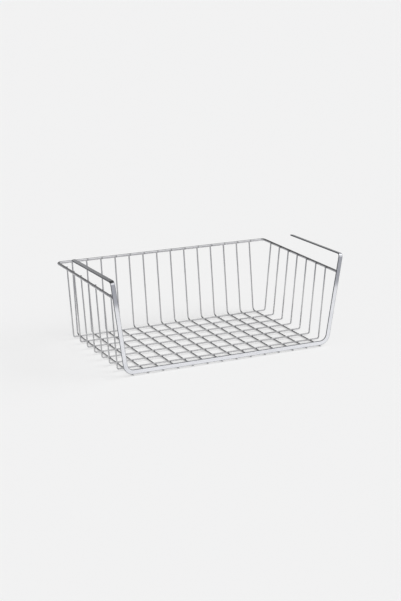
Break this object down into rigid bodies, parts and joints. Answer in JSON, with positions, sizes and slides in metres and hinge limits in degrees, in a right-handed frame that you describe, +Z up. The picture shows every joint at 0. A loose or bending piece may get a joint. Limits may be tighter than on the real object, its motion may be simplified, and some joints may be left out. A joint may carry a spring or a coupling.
{
  "type": "hanging wire basket",
  "caption": "Chromed steel wire basket that hangs under a shelf by two flat arms, with an open front, an open top and leaning wire walls",
  "frame": {"origin": "on the surface that the basket stands on, at the middle of its outline seen from above", "axes": "+X to the right of someone who faces the open front, +Y to the back wall, +Z up"},
  "size_m": [0.4206, 0.257, 0.1586],
  "materials": {
    "chrome_flat_bar": "bright chrome plating on rolled flat steel bar with rounded edges",
    "chrome_rod": "bright chrome plating on drawn round steel rod",
    "chrome_wire": "bright chrome plating on drawn steel wire, plated after welding"
  },
  "bodies": {
    "root": {"front_frame": "chrome_flat_bar", "rim_rod": "chrome_rod", "cross_wire_1": "chrome_wire", "cross_wire_2": "chrome_wire", "cross_wire_3": "chrome_wire", "cross_wire_4": "chrome_wire", "cross_wire_5": "chrome_wire", "cross_wire_6": "chrome_wire", "cross_wire_7": "chrome_wire", "back_wire_1": "chrome_wire", "back_wire_2": "chrome_wire", "back_wire_3": "chrome_wire", "back_wire_4": "chrome_wire", "back_wire_5": "chrome_wire", "back_wire_6": "chrome_wire", "back_wire_7": "chrome_wire", "back_wire_8": "chrome_wire", "back_wire_9": "chrome_wire", "back_wire_10": "chrome_wire", "back_wire_11": "chrome_wire", "back_wire_12": "chrome_wire", "back_wire_13": "chrome_wire", "back_wire_14": "chrome_wire"}
  },
  "joints": []
}
